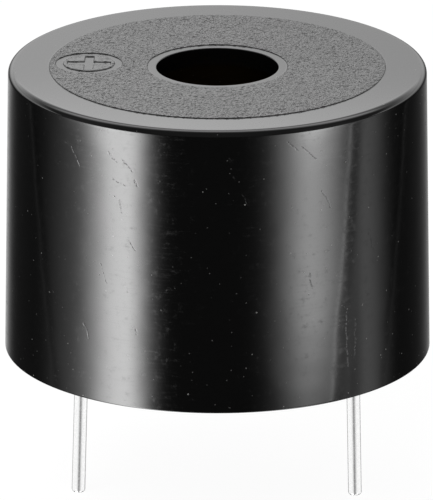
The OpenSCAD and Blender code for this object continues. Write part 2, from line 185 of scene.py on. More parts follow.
# The backdrop and the soft box are placed by degrees up from the horizon behind the part, through
# 90 right overhead. Each pair tells where one side is at its least and where it is full
BACKDROP_FOOT, BACKDROP_FALL = (-6.0, 18.0), (60.0, 5.0)
BACKDROP_STRENGTH, BACKDROP_LEAST = 2.36, 0.1
SOFT_BOX_BACK, SOFT_BOX_FRONT = (42.0, 62.0), (100.0, 62.0)
# Its left and right ends are placed by the sideways share of a direction
SOFT_BOX_ENDS = (0.8, 0.45)
SOFT_BOX_STRENGTH = 3.0
print("glows:", len(GLOWS))

# %% The room that the part mirrors
world = bpy.data.worlds.new("studio")
bpy.context.scene.world = world
world.use_nodes = True
room = world.node_tree
room.nodes.clear()
direction = add_node(room, "TexCoord").outputs["Generated"]
split = add_node(room, "SeparateXYZ", {"Vector": direction})
east, north, height = split.outputs[0], split.outputs[1], split.outputs[2]
compass = compass_angle(room, split)
low_light = 0.0
for centre, strength, fade_left, fade_right in GLOWS:
    off = add_node(room, "Math", {0: compass, 1: math.radians(centre)}, operation="SUBTRACT")
    off = add_node(room, "Math", {0: off, 1: math.pi, 2: -math.pi}, operation="WRAP")
    glow = hump(room, off, 0.0, math.radians(fade_left), math.radians(fade_right))
    low_light = add_node(room, "Math", {0: glow, 1: strength, 2: low_light},
                         operation="MULTIPLY_ADD")
low_light = add_node(room, "Math", {0: low_light, 1: rise(room, height, GLOW_END, GLOW_FULL)},
                     operation="MULTIPLY")
# The backdrop is brightest a little above the horizon and falls off upwards, so each slope of the
# grain on the part's top mirrors its own brightness. The soft box hangs overhead and ends before
# it comes round to the front
overhead = add_node(room, "Math", {0: height, 1: north}, operation="ARCTAN2")
overhead = add_node(room, "Math", {0: overhead}, operation="DEGREES")
fall = rise(room, overhead, *BACKDROP_FALL, BACKDROP_LEAST, BACKDROP_STRENGTH)
backdrop = add_node(room, "Math", {0: rise(room, overhead, *BACKDROP_FOOT), 1: fall},
                    operation="MULTIPLY")
soft_top = add_node(room, "Math",
                    {0: rise(room, overhead, *SOFT_BOX_BACK),
                     1: rise(room, overhead, *SOFT_BOX_FRONT)}, operation="MULTIPLY")
aside = add_node(room, "Math", {0: east}, operation="ABSOLUTE")
soft_top = add_node(room, "Math",
                    {0: soft_top, 1: rise(room, aside, *SOFT_BOX_ENDS, 0.0, SOFT_BOX_STRENGTH)},
                    operation="MULTIPLY")
high_light = add_node(room, "Math", {0: backdrop, 1: soft_top}, operation="ADD")
mirrored = add_node(room, "Math", {0: low_light, 1: high_light}, operation="ADD")
mirrored = add_node(room, "Math", {0: mirrored, 1: DARK_ROOM}, operation="ADD")
paths = add_node(room, "LightPath")
glossy_room = add_node(room, "Background", {"Color": mirrored, "Strength": 1.0})
soft_room = add_node(room, "Background", {"Color": linear("#ffffff"), "Strength": SOFT_LIGHT})
white_room = add_node(room, "Background", {"Color": linear("#ffffff"), "Strength": 1.0})
seen = add_node(room, "MixShader", {0: paths.outputs["Is Glossy Ray"], 1: soft_room.outputs[0],
                                    2: glossy_room.outputs[0]})
seen = add_node(room, "MixShader", {0: paths.outputs["Is Camera Ray"], 1: seen.outputs[0],
                                    2: white_room.outputs[0]})
add_node(room, "OutputWorld", {"Surface": seen.outputs[0]})
print("room nodes:", len(room.nodes))

# %% [markdown]
# ## A cloth screen near the part
# The strips shine through a cloth screen that stands round the part. Its sewn seams and folds
# mirror in the wall as thin slanting lines, and it dims the right strip towards its foot. Only a
# surface near the part can do that, because the world is infinitely far away. The screen is a
# short tube that only mirror rays meet. It filters what lies behind it, and its seams glow a
# little.

# %% Tubes that only mirror rays meet
TUBE_SIDES = 96


def tube_mesh(name, radius, low, high, material):
    """An upright open tube, its sizes in millimetres."""
    turns = [2 * math.pi * i / TUBE_SIDES for i in range(TUBE_SIDES)]
    points = [(radius * math.cos(turn) * MM, radius * math.sin(turn) * MM, z * MM)
              for z in (low, high) for turn in turns]
    faces = [(i, (i + 1) % TUBE_SIDES, TUBE_SIDES + (i + 1) % TUBE_SIDES, TUBE_SIDES + i)
             for i in range(TUBE_SIDES)]
    tube = bpy.data.meshes.new(name)
    tube.from_pydata(points, [], faces)
    tube.materials.append(material)
    return tube


def only_mirrored(name, mesh):
    """Puts a mesh in the scene for mirror rays alone."""
    thing = bpy.data.objects.new(name, mesh)
    bpy.context.scene.collection.objects.link(thing)
    for kind in ("camera", "diffuse", "transmission", "shadow", "volume_scatter"):
        setattr(thing, "visible_" + kind, False)
    return thing


print("sides of a tube:", TUBE_SIDES)

# %% Sizes of the cloth screen
# Levels are in millimetres up the screen, and places round it are in degrees from the front
SCREEN_R, SCREEN_LOW, SCREEN_HIGH = 60, -30, 70
# Each seam: its place at level 0, lean in degrees per millimetre up, brightness of the seam, and
# how much darker and how wide the fold beside it is, wide to the right if positive
SEAMS = [(72.8, 0.81, 2.0, 0.45, 8.0), (-114.5, -1.43, 0.12, 0.3, 6.0),
         (120.3, 1.41, 0.12, 0.3, -6.0)]
SEAM_WIDTH = 0.55
SEAM_END, SEAM_FULL = 4.0, 1.0
# The fold lies between these shares of its width, and this many degrees soften its two sides
FOLD_SHARES, FOLD_NEAR_SIDE, FOLD_FAR_SIDE = (0.15, 0.8), 0.6, (3.0, -1.0)
# The right strip's foot: levels where it starts to dim and where it is dim, and what is left
FOOT_START, FOOT_END, FOOT_LIGHT = -8.0, -20.0, 0.15
FOOT_LEFT, FOOT_RIGHT = (5.0, 30.0), (85.0, 60.0)
# Brighter cloth at the strips' upper ends, mirrored by the case's rounded edge: the place of each,
# how far it reaches and where it is full, then its levels and how much it adds
BRIGHT_SPOTS = [(57.0, 22.0, 8.0), (-68.0, 22.0, 6.0)]
BRIGHT_LEVELS, BRIGHT_ADDS = (-0.8, 1.2), 0.6
# Behind the part the cloth is thinnest where the front and the left of the top mirror it
BACK_STARTS = 20
BACK_LEVELS, BACK_LOW_LIGHT = (35.5, 40.0), 0.7
BACK_HALF_WIDTH, BACK_RIGHT_LIGHT = 13, 0.86
print("seams:", len(SEAMS))

# %% Cloth: where it filters and where it glows
cloth, tree = new_material("white cloth screen")
spot = add_node(tree, "SeparateXYZ", {"Vector": add_node(tree, "TexCoord").outputs["Object"]})
around = add_node(tree, "Math", {0: compass_angle(tree, spot)}, operation="DEGREES")
level = add_node(tree, "Math", {0: spot.outputs["Z"], 1: MM}, operation="DIVIDE")
foot = rise(tree, level, FOOT_START, FOOT_END, 1.0, FOOT_LIGHT)
on_right = add_node(tree, "Math",
                    {0: rise(tree, around, *FOOT_LEFT), 1: rise(tree, around, *FOOT_RIGHT)},
                    operation="MULTIPLY")
dimmed = add_node(tree, "Math", {0: foot, 1: 1.0}, operation="SUBTRACT")
passes = add_node(tree, "Math", {0: on_right, 1: dimmed, 2: 1.0}, operation="MULTIPLY_ADD")
near_strips = 0.0
for strip_at, reach, full in BRIGHT_SPOTS:
    aside = add_node(tree, "Math", {0: around, 1: strip_at}, operation="SUBTRACT")
    aside = add_node(tree, "Math", {0: aside}, operation="ABSOLUTE")
    near_strips = add_node(tree, "Math", {0: near_strips, 1: rise(tree, aside, reach, full)},
                           operation="MAXIMUM")
brighter = add_node(tree, "Math", {0: near_strips, 1: rise(tree, level, *BRIGHT_LEVELS)},
                    operation="MULTIPLY")
brighter = add_node(tree, "Math", {0: brighter, 1: BRIGHT_ADDS, 2: 1.0}, operation="MULTIPLY_ADD")
passes = add_node(tree, "Math", {0: passes, 1: brighter}, operation="MULTIPLY")
below_seam_end = rise(tree, level, SEAM_END, SEAM_FULL)
shines = 0.0
for start, slant, strength, fold, width in SEAMS:
    seam_at = add_node(tree, "Math", {0: level, 1: slant, 2: start}, operation="MULTIPLY_ADD")
    off = add_node(tree, "Math", {0: around, 1: seam_at}, operation="SUBTRACT")
    line = hump(tree, off, 0.0, SEAM_WIDTH, SEAM_WIDTH)
    shines = add_node(tree, "Math", {0: line, 1: strength, 2: shines}, operation="MULTIPLY_ADD")
    near, far = sorted(share * width for share in FOLD_SHARES)
    dip = add_node(tree, "Math",
                   {0: rise(tree, off, near - FOLD_NEAR_SIDE, near),
                    1: rise(tree, off, far + FOLD_FAR_SIDE[0], far + FOLD_FAR_SIDE[1])},
                   operation="MULTIPLY")
    dip = add_node(tree, "Math", {0: dip, 1: below_seam_end}, operation="MULTIPLY")
    dip = add_node(tree, "Math", {0: dip, 1: -fold, 2: 1.0}, operation="MULTIPLY_ADD")
    passes = add_node(tree, "Math", {0: passes, 1: dip}, operation="MULTIPLY")
shines = add_node(tree, "Math", {0: shines, 1: below_seam_end}, operation="MULTIPLY")
at_back = rise(tree, spot.outputs["Y"], 0.0, BACK_STARTS * MM)
high = rise(tree, level, *BACK_LEVELS, BACK_LOW_LIGHT, 1.0)
left_side = rise(tree, spot.outputs["X"], -BACK_HALF_WIDTH * MM, BACK_HALF_WIDTH * MM,
                 1.0, BACK_RIGHT_LIGHT)
back = add_node(tree, "Math", {0: high, 1: left_side}, operation="MULTIPLY")
back = add_node(tree, "Math", {0: back, 1: 1.0}, operation="SUBTRACT")
back = add_node(tree, "Math", {0: at_back, 1: back, 2: 1.0}, operation="MULTIPLY_ADD")
passes = add_node(tree, "Math", {0: passes, 1: back}, operation="MULTIPLY")
filtered = add_node(tree, "BsdfTransparent", {"Color": passes})
seam_light = add_node(tree, "Emission", {"Color": linear("#ffffff"), "Strength": shines})
woven = add_node(tree, "AddShader", {0: filtered.outputs[0], 1: seam_light.outputs[0]})
add_node(tree, "OutputMaterial", {"Surface": woven.outputs[0]})
screen_mesh = tube_mesh("cloth_screen", SCREEN_R, SCREEN_LOW, SCREEN_HIGH, cloth)
screen = only_mirrored("cloth_screen", screen_mesh)
print("screen nodes:", len(tree.nodes))

# %% [markdown]
# ## A white card round each lead
# The leads stand under the case, lit by the pale table. A small white tube round each one gives
# its round sides something pale to mirror. It is darker towards the front, which draws the soft
# grey line down the wire, and darker at its back, which draws the wire's thin outlines. Only
# mirror rays meet the tubes, and the wall can't see them, because it looks outward.

# %% Cards round the leads
CARD_R, CARD_LOW, CARD_HIGH = 2.4, -11, -0.3
CARD_AT = 7.6
CARD_LIGHT, GAP_TAKES = 1.4, 1.1
# In degrees from the front: middle of the front gap and how far it fades to its left and right,
# then where the back gap starts and where it is full
FRONT_GAP, BACK_GAP = (2.0, 14.0, 17.0), (110.0, 140.0)
white_card, tree = new_material("white card")
spot = add_node(tree, "SeparateXYZ", {"Vector": add_node(tree, "TexCoord").outputs["Object"]})
turn = add_node(tree, "Math", {0: compass_angle(tree, spot)}, operation="DEGREES")
front_gap = hump(tree, turn, *FRONT_GAP)
back_gap = rise(tree, add_node(tree, "Math", {0: turn}, operation="ABSOLUTE"), *BACK_GAP)
dark = add_node(tree, "Math", {0: front_gap, 1: back_gap}, operation="ADD")
card_light = add_node(tree, "Math", {0: dark, 1: -GAP_TAKES, 2: CARD_LIGHT},
                      operation="MULTIPLY_ADD")
card_glow = add_node(tree, "Emission", {"Color": linear("#ffffff"), "Strength": card_light})
facing = add_node(tree, "MixShader", {0: add_node(tree, "NewGeometry").outputs["Backfacing"],
                                      1: add_node(tree, "BsdfTransparent").outputs[0],
                                      2: card_glow.outputs[0]})
add_node(tree, "OutputMaterial", {"Surface": facing.outputs[0]})
card_mesh = tube_mesh("lead_card", CARD_R, CARD_LOW, CARD_HIGH, white_card)
for number, card_x in enumerate((-CARD_AT, CARD_AT)):
    card = only_mirrored(f"lead_card_{number}", card_mesh)
    card.location = (card_x * MM, 0, 0)
print("card radius in mm:", CARD_R)

# %% [markdown]
# ## One soft lamp
# A large square lamp high on the left gives the scattered light a side, so that the leads and the
# floor are shaded as well as mirrored. It is hidden from mirror rays, because the room above
# already holds all that the plastic shows.

# %% Soft lamp
LAMP_AIM = Vector((0, 0, 6 * MM))
LAMP_PLACE = Vector((-180 * MM, -220 * MM, 300 * MM))
LAMP_SIZE = 250 * MM
LAMP_POWER = 0.55
soft_box = bpy.data.lights.new("soft_box", "AREA")
soft_box.shape = "SQUARE"
soft_box.size = LAMP_SIZE
soft_box.energy = LAMP_POWER
lamp = bpy.data.objects.new("soft_box", soft_box)
bpy.context.scene.collection.objects.link(lamp)
lamp.location = LAMP_PLACE
lamp.rotation_euler = (LAMP_AIM - LAMP_PLACE).to_track_quat("-Z", "Y").to_euler()
lamp.visible_glossy = False
lamp.visible_camera = False
print("lamp distance in mm:", round((LAMP_AIM - LAMP_PLACE).length / MM))

# %% [markdown]
# ## The floor
# The part stands on the tips of its leads. The floor is one large white sheet. Most of its white
# is given to the camera alone, so the sheet comes out as clean as a light table and still takes a
# faint shadow. From below it is clear, so the underside can be looked at.

# %% Floor
FLOOR_SIZE = 4.0
FLOOR_GLOW = 0.93
floor_level = cad_box[0][2]
half = FLOOR_SIZE / 2
sheet = bpy.data.meshes.new("floor")
sheet.from_pydata([(-half, -half, floor_level), (half, -half, floor_level),
                   (half, half, floor_level), (-half, half, floor_level)], [], [(0, 1, 2, 3)])
floor = bpy.data.objects.new("floor", sheet)
bpy.context.scene.collection.objects.link(floor)
floor.visible_glossy = False
paper, tree = new_material("matt white sheet")
shaded = add_node(tree, "BsdfDiffuse", {"Color": linear("#606060")})
glow = add_node(tree, "Emission", {"Color": linear("#ffffff"), "Strength": FLOOR_GLOW})
lit = add_node(tree, "AddShader", {0: shaded.outputs[0], 1: glow.outputs[0]})
clear = add_node(tree, "BsdfTransparent")
ray = add_node(tree, "LightPath")
side = add_node(tree, "NewGeometry")
to_camera = add_node(tree, "MixShader", {0: ray.outputs["Is Camera Ray"], 1: shaded.outputs[0],
                                         2: lit.outputs[0]})
one_sided = add_node(tree, "MixShader", {0: side.outputs["Backfacing"], 1: to_camera.outputs[0],
                                         2: clear.outputs[0]})
add_node(tree, "OutputMaterial", {"Surface": one_sided.outputs[0]})
floor.data.materials.append(paper)
print("floor level in mm:", round(floor_level / MM, 2))

# %% [markdown]
# ## The case as one skin
# A moulded cup has no perfectly sharp edge anywhere: the mould's corners round it off, and those
# small roundings catch the light. The CAD solid has the main shapes with plain edges. Here its
# section is turned again as a fine mesh, with rounded lips and many rings, so that the mirror
# image in the wall runs smoothly.

# %% Sizes of the case, in millimetres
_, case_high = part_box("housing")
BASE_R = case_high[0] / MM
RING_RISE = 0.05
TOP = case_high[2] / MM - RING_RISE
DRAFT = math.radians(0.8896)
EDGE_R = 0.35
LIP_R = 0.05
FOOT_R = 0.07
# The inside: sound hole, front chamber, chamber and the pocket that takes the board
HOLE_R, ROOF, FRONT_R, LEDGE = 3.37, 15.1, 8.816, 11.85
CHAMBER_R, BOARD_TOP, POCKET_R, BEVEL = 10.116, 2.9, 10.466, 0.2
CORNER_Z = TOP - EDGE_R
CORNER_R = BASE_R - CORNER_Z * math.tan(DRAFT) - EDGE_R / math.cos(DRAFT)
ROUND = 288
print("case in mm:", round(2 * BASE_R, 2), "wide at the foot,", round(TOP, 2), "high")


# %% Turn the section
def arc(centre_r, centre_z, radius, start, end, steps):
    """Points of a rounded corner, from one angle to another in degrees."""
    turns = [math.radians(start + (end - start) * i / steps) for i in range(steps + 1)]
    return [(centre_r + radius * math.cos(t), centre_z + radius * math.sin(t)) for t in turns]


def wall_r(z):
    return BASE_R - z * math.tan(DRAFT)


lean = math.degrees(DRAFT)
WALL_LEVELS = [15.65, 15.5, 15.2, 14.8, 14, 13, 12, 11, 10, 9, 8, 7, 6, 5, 4, 3, 2, 1.2, 0.7, 0.4,
               0.2, 0.12]
section = arc(CORNER_R, CORNER_Z, EDGE_R, 90, lean, 12)
section += [(wall_r(z), z) for z in WALL_LEVELS]
section += arc(wall_r(FOOT_R) - FOOT_R, FOOT_R, FOOT_R, lean, -90, 6)
section += [(POCKET_R + BEVEL, 0), (POCKET_R, BEVEL), (POCKET_R, BOARD_TOP), (CHAMBER_R, BOARD_TOP),
            (CHAMBER_R, LEDGE), (FRONT_R, LEDGE), (FRONT_R, ROOF), (HOLE_R, ROOF)]
section += arc(HOLE_R + LIP_R, TOP - LIP_R, LIP_R, 180, 90, 5)
angles = 2 * np.pi * np.arange(ROUND) / ROUND
case_points = [(r * math.cos(a), r * math.sin(a), z) for r, z in section for a in angles]
case_faces = []
for ring in range(len(section) - 1):
    for i in range(ROUND):
        j = (i + 1) % ROUND
        near, far = ring * ROUND, (ring + 1) * ROUND
        case_faces.append((near + i, far + i, far + j, near + j))
print("turned faces:", len(case_faces))

# %% [markdown]
# ## The top: a raised ring with a sunken mark
# The ring that carries the grain stands 0.05 mm proud, and the plus mark and its circle are left
# smooth. Cutting such shallow shapes with booleans leaves ragged edges, so the top is made as a
# height map instead: a flat net of triangles whose edges follow each outline, lifted where the
# ring is. Every outline gets five close lines, which give the tiny step its round shoulders.

# %% Distances from the outlines of the top
GRAIN_R, COLLAR_R = 9.27, 3.87
MARK_AT, MARK_R, MARK_DISC_R = (-7.1, 0.3), 1.84, 1.42
PLUS_HALF, BAR_HALF = 1.2, 0.25
SHOULDER = 0.025


def raised(x, y):
    """Distance inside the raised area, negative outside it."""
    r = np.hypot(x, y)
    u, v = np.abs(x - MARK_AT[0]), np.abs(y - MARK_AT[1])
    from_mark = np.hypot(u, v)
    to_plus = np.minimum(np.maximum(u - PLUS_HALF, v - BAR_HALF),
                         np.maximum(v - PLUS_HALF, u - BAR_HALF))
    disc = np.minimum(MARK_DISC_R - from_mark, to_plus)
    return np.minimum(np.minimum(GRAIN_R - r, r - COLLAR_R), np.maximum(from_mark - MARK_R, disc))


def smooth_step(distance):
    t = np.clip((distance + SHOULDER) / (2 * SHOULDER), 0, 1)
    return t * t * (3 - 2 * t)


# %% Outlines of the top
def circle_points(centre, radius, count):
    turns = 2 * np.pi * np.arange(count) / count
    return np.stack([centre[0] + radius * np.cos(turns), centre[1] + radius * np.sin(turns)], 1)


def plus_points(grow, step=0.1):
    """Outline of the plus, moved outward by a margin, with a point about every step."""
    long, thin = PLUS_HALF + grow, BAR_HALF + grow
    corners = np.array([(long, -thin), (long, thin), (thin, thin), (thin, long), (-thin, long),
                        (-thin, thin), (-long, thin), (-long, -thin), (-thin, -thin),
                        (-thin, -long), (thin, -long), (thin, -thin)])
    points = []
    for start, end in zip(corners, np.roll(corners, -1, axis=0)):
        count = max(1, round(float(np.abs(end - start).max()) / step))
        points += [start + (end - start) * i / count for i in range(count)]
    return np.array(points) + MARK_AT


outlines = [circle_points((0, 0), CORNER_R, ROUND), circle_points((0, 0), HOLE_R + LIP_R, ROUND)]
for shift in np.linspace(-SHOULDER, SHOULDER, 5):
    outlines.append(circle_points((0, 0), GRAIN_R - shift, 480))
    outlines.append(circle_points((0, 0), COLLAR_R + shift, 216))
    outlines.append(circle_points(MARK_AT, MARK_R + shift, 120))
    outlines.append(circle_points(MARK_AT, MARK_DISC_R - shift, 96))
    outlines.append(plus_points(shift))
flat_points, flat_edges = [], []
for outline in outlines:
    first, count = len(flat_points), len(outline)
    flat_points += [tuple(point) for point in outline]
    flat_edges += [(first + i, first + (i + 1) % count) for i in range(count)]
print("outline points:", len(flat_points))

# %% Fill the top with triangles and lift the ring
NET_STEP = 0.105
across = np.arange(-CORNER_R, CORNER_R, NET_STEP)
rows = np.arange(-CORNER_R, CORNER_R, NET_STEP * math.sqrt(3) / 2)
net_x, net_y = np.meshgrid(across, rows)
net_x = net_x + (np.arange(len(rows)) % 2)[:, None] * NET_STEP / 2
net_x, net_y = net_x.ravel(), net_y.ravel()
radius = np.hypot(net_x, net_y)
free = (np.abs(raised(net_x, net_y)) > SHOULDER + NET_STEP / 3)
free &= (radius > HOLE_R + LIP_R + NET_STEP / 2) & (radius < CORNER_R - NET_STEP / 2)
flat_points += list(zip(net_x[free].tolist(), net_y[free].tolist()))
flat_points = [Vector(point) for point in flat_points]
net, _, triangles, _, _, _ = delaunay_2d_cdt(flat_points, flat_edges, [], 0, 1e-7)
net = np.array([tuple(p) for p in net])
lift = smooth_step(raised(net[:, 0], net[:, 1]))
middles = net[np.array(triangles)].mean(1)
kept = np.hypot(middles[:, 0], middles[:, 1]) > HOLE_R + LIP_R
print("net points:", len(net), "triangles:", int(kept.sum()))

# %% [markdown]
# ## Grain in the net
# The mould's ring was etched by sparks, which leaves a fine orange-peel relief. Real spark grain
# is finer still: it is drawn this coarse so that it shows in a picture of the whole part. Some of
# it is lifted into the net itself, so it is also there in the plain mesh. The rest is left to the
# material further down.

# %% Relief, and the whole case as one mesh
RELIEF_SIZE, RELIEF_HEIGHT = 0.21, 0.03
relief = np.array([noise.noise(Vector((x, y, 0)) / RELIEF_SIZE) for x, y in net])
heights = TOP + lift * (RING_RISE + RELIEF_HEIGHT * relief)
first = len(case_points)
case_points += [(x, y, z) for (x, y), z in zip(net.tolist(), heights.tolist())]
for triangle, keep in zip(triangles, kept):
    if keep:
        case_faces.append(tuple(first + corner for corner in triangle))


def make_piece(name, points, faces, material_slot, *replaced):
    """A smooth mesh piece that rides on the body and stands for the CAD nodes it replaces."""
    skin = bpy.data.meshes.new(name)
    skin.from_pydata([tuple(c * MM for c in point) for point in points], [], faces)
    knit = bmesh.new()
    knit.from_mesh(skin)
    bmesh.ops.remove_doubles(knit, verts=knit.verts, dist=0.0005 * MM)
    bmesh.ops.recalc_face_normals(knit, faces=knit.faces)
    open_edges = sum(not edge.is_manifold for edge in knit.edges)
    knit.to_mesh(skin)
    knit.free()
    skin.shade_smooth()
    skin.set_sharp_from_angle(angle=math.radians(40))
    piece = bpy.data.objects.new(name, skin)
    bpy.context.scene.collection.objects.link(piece)
    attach(piece, "root")
    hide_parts(*replaced)
    print(name, "has", len(skin.polygons), "faces and", open_edges, "open edges")
make_piece("case", case_points, case_faces, "case_plastic", "housing")

# %% [markdown]
# ## The leads
# Each lead is a straight piece of tinned copper wire, cut with a rounded end. It leans outward a
# little and has a collar and a stub inside the part. Drawn wire isn't perfectly even, so its
# skin is joined from rings whose radius wanders by a few thousandths of a millimetre.

# %% Rings of a lead
LEAD_R, COLLAR_OUT_R, TIP_R, BREAK = 0.375, 0.75, 0.15, 0.04
LEAD_X, ROOT_Z, COLLAR_LOW, COLLAR_HIGH, STUB_TOP = 7.5, 0.825, 0.4, 1.25, 3.8
LEAD_LENGTH = 9.725
POSITIVE_LEAN, NEGATIVE_LEAN = 1.6, 1.1
LEAD_SIDES, TIP_STEPS = 48, 6
LEAD_STEP = 0.2
UNEVEN, UNEVEN_SIZE = 0.0008, 1.2


def lead_rings(side, lean_degrees):
    """Centre, axis and radius of each ring, from the tip up."""
    tilt = math.radians(lean_degrees)
    up_wire = Vector((-side * math.sin(tilt), 0, math.cos(tilt)))
    tip = Vector((side * LEAD_X, 0, ROOT_Z)) - up_wire * LEAD_LENGTH
    rings = []
    for step in range(TIP_STEPS + 1):
        turn = math.pi / 2 * step / TIP_STEPS
        rings.append((tip + up_wire * TIP_R * (1 - math.cos(turn)), up_wire,
                      LEAD_R - TIP_R + TIP_R * math.sin(turn)))
    bare = LEAD_LENGTH - (ROOT_Z - COLLAR_LOW) / math.cos(tilt)
    steps = round((bare - TIP_R) / LEAD_STEP)
    for step in range(1, steps + 1):
        along = TIP_R + (bare - TIP_R) * step / steps
        rings.append((tip + up_wire * along, up_wire, LEAD_R))
    upright = Vector((0, 0, 1))
    for radius, z in [(COLLAR_OUT_R - BREAK, COLLAR_LOW), (COLLAR_OUT_R, COLLAR_LOW + BREAK),
                      (COLLAR_OUT_R, COLLAR_HIGH - BREAK), (COLLAR_OUT_R - BREAK, COLLAR_HIGH),
                      (LEAD_R, COLLAR_HIGH), (LEAD_R, STUB_TOP - BREAK),
                      (LEAD_R - BREAK, STUB_TOP)]:
        rings.append((Vector((side * LEAD_X, 0, z)), upright, radius))
    return rings


# %% Join the rings into a skin
def lead_skin(rings):
    points, faces = [], []
    for centre, axis, radius in rings:
        forward = Vector((0, 1, 0))
        sideways = forward.cross(axis)
        for i in range(LEAD_SIDES):
            turn = 2 * math.pi * i / LEAD_SIDES
            out = sideways * math.cos(turn) + forward * math.sin(turn)
            wander = UNEVEN * noise.noise((centre + out * LEAD_R) / UNEVEN_SIZE)
            points.append(tuple(centre + out * (radius + wander)))
    for ring in range(len(rings) - 1):
        for i in range(LEAD_SIDES):
            j = (i + 1) % LEAD_SIDES
            low, high = ring * LEAD_SIDES, (ring + 1) * LEAD_SIDES
            faces.append((low + i, low + j, high + j, high + i))
    faces.append(tuple(reversed(range(LEAD_SIDES))))
    faces.append(tuple(range(len(points) - LEAD_SIDES, len(points))))
    return points, faces


make_piece("positive_wire", *lead_skin(lead_rings(-1, POSITIVE_LEAN)), "tinned_wire", "positive_lead")
make_piece("negative_wire", *lead_skin(lead_rings(1, NEGATIVE_LEAN)), "tinned_wire", "negative_lead")

# %% [markdown]
# ## A start for every finish
# Each finish is a material with its own nodes. All of them read the same coordinates, the part's
# own place in metres, so one millimetre of grain is one millimetre everywhere and no piece needs
# to be unwrapped.

# %% Start a finish and put it on pieces
def new_finish(name):
    finish, tree = new_material(name)
    return finish, tree, add_node(tree, "TexCoord").outputs["Object"]


def end_finish(tree, inputs):
    surface = add_node(tree, "BsdfPrincipled", inputs)
    add_node(tree, "OutputMaterial", {"Surface": surface.outputs[0]})


def cover(finish, *names):
    """Puts a finish on new pieces or on CAD nodes."""
    for name in names:
        piece = bpy.data.objects[name]
        if not piece.material_slots:
            piece.data.materials.append(finish)
        for slot in piece.material_slots:
            slot.material = finish
    print(finish.name, "on", ", ".join(names))


def per_mm(size):
    """Pattern scale for a feature of this size in millimetres."""
    return 1 / (size * MM)


# %% [markdown]
# ## The case: moulded ABS
# ABS takes the finish of its steel mould. The wall was polished, so it mirrors the room. The
# raised ring on top was etched with a fine spark grain, so it scatters what it mirrors. One
# material does both: height above the smooth top says where the grain is.

# %% Where the grain is
# Like the relief in the net, the grain is drawn coarser than the real one, so that it shows, and
# it is squeezed from side to side. It is fainter on the mark's disc
GRAIN_SIZE, GRAIN_DEPTH = 0.2, 0.07
GRAIN_SQUEEZE = (1.6, 1.0, 1.0)
MARK_GRAIN = 0.35
# Shares of the ring's rise between which the grain sets in
RING_FOOT, RING_SHOULDER = 0.3, 0.8
abs_black, tree, place = new_finish("moulded ABS")
xyz = add_node(tree, "SeparateXYZ", {"Vector": place})
on_ring = rise(tree, xyz.outputs["Z"], (TOP + RING_FOOT * RING_RISE) * MM,
               (TOP + RING_SHOULDER * RING_RISE) * MM)
mark_centre = (MARK_AT[0] * MM, MARK_AT[1] * MM, (TOP + RING_RISE) * MM)
from_mark = add_node(tree, "VectorMath", {0: place, 1: mark_centre},
                     operation="DISTANCE").outputs["Value"]
off_mark = rise(tree, from_mark, MARK_DISC_R * MM, MARK_R * MM, MARK_GRAIN, 1.0)
etched = add_node(tree, "Math", {0: on_ring, 1: off_mark}, operation="MULTIPLY")
squeezed = add_node(tree, "VectorMath", {0: place, 1: GRAIN_SQUEEZE}, operation="MULTIPLY")
lumps = add_node(tree, "TexNoise", {"Vector": squeezed, "Scale": per_mm(GRAIN_SIZE), "Detail": 1.0})
grain = add_node(tree, "Math", {0: lumps, 1: etched}, operation="MULTIPLY")
grain = add_node(tree, "Math", {0: grain, 1: GRAIN_DEPTH * MM}, operation="MULTIPLY")

# %% [markdown]
# The wall isn't a perfect mirror either: moulded plastic shrinks a little unevenly as it cools,
# which bends the mirror image, and handling leaves hair-fine scuffs along the way the part rolls.
# The wall's own coordinates, millimetres round it and millimetres up it, make both easy to place.

# %% Unevenness and scuffs of the wall
# On the wall a pattern's scale counts per millimetre, so 0.35 makes features of about 3 mm
SINK_SCALE, SINK_DEPTH = 0.35, 0.02
SCUFF_SCALES = (0.7, 9.0, 0.0)
around = add_node(tree, "Math", {0: compass_angle(tree, xyz), 1: wall_r(TOP / 2)},
                  operation="MULTIPLY")
up = add_node(tree, "Math", {0: xyz.outputs["Z"], 1: MM}, operation="DIVIDE")
on_wall = add_node(tree, "CombineXYZ", {"X": around, "Y": up}).outputs[0]
below_edge = rise(tree, up, TOP, CORNER_Z)
sink = add_node(tree, "TexNoise", {"Vector": on_wall, "Scale": SINK_SCALE, "Detail": 1.0})
sink = add_node(tree, "Math", {0: sink, 1: below_edge}, operation="MULTIPLY")
sink = add_node(tree, "Math", {0: sink, 1: SINK_DEPTH * MM}, operation="MULTIPLY")
rolled = add_node(tree, "VectorMath", {0: on_wall, 1: SCUFF_SCALES}, operation="MULTIPLY")
scuffs = add_node(tree, "TexNoise",
                  {"Vector": rolled, "Scale": 1.0, "Detail": 3.0, "Roughness": 0.6})

# %% [markdown]
# ## Dust, scratches and scuffs
# Dust shows pale on the dark parts of the wall and dark on the bright ones, because it scatters
# light instead of mirroring it. Cells scattered in space give the grains: only a cell whose centre
# lies close to the surface shows. Scratches do the same in short lines, so they are drawn one by
# one: each is the distance to a line between two points.

# %% Two sizes of dust
# Each: size of a cell and how far the grain in its middle reaches, both in millimetres, and how
# strongly the grain shows
DUST = [(0.9, 0.06, 0.8), (0.55, 0.045, 0.4)]
DUST_CORE = 0.4
DUST_ON_RING = 0.25
dust = 0.0
for cell, width, strength in DUST:
    cells = add_node(tree, "TexVoronoi", {"Vector": place, "Scale": per_mm(cell)})
    specks = rise(tree, cells.outputs["Distance"], width / cell, DUST_CORE * width / cell,
                  0.0, strength)
    dust = add_node(tree, "Math", {0: dust, 1: specks}, operation="MAXIMUM")
dust = add_node(tree, "Math", {0: dust, 1: rise(tree, on_ring, 0.0, 1.0, 1.0, DUST_ON_RING)},
                operation="MULTIPLY")

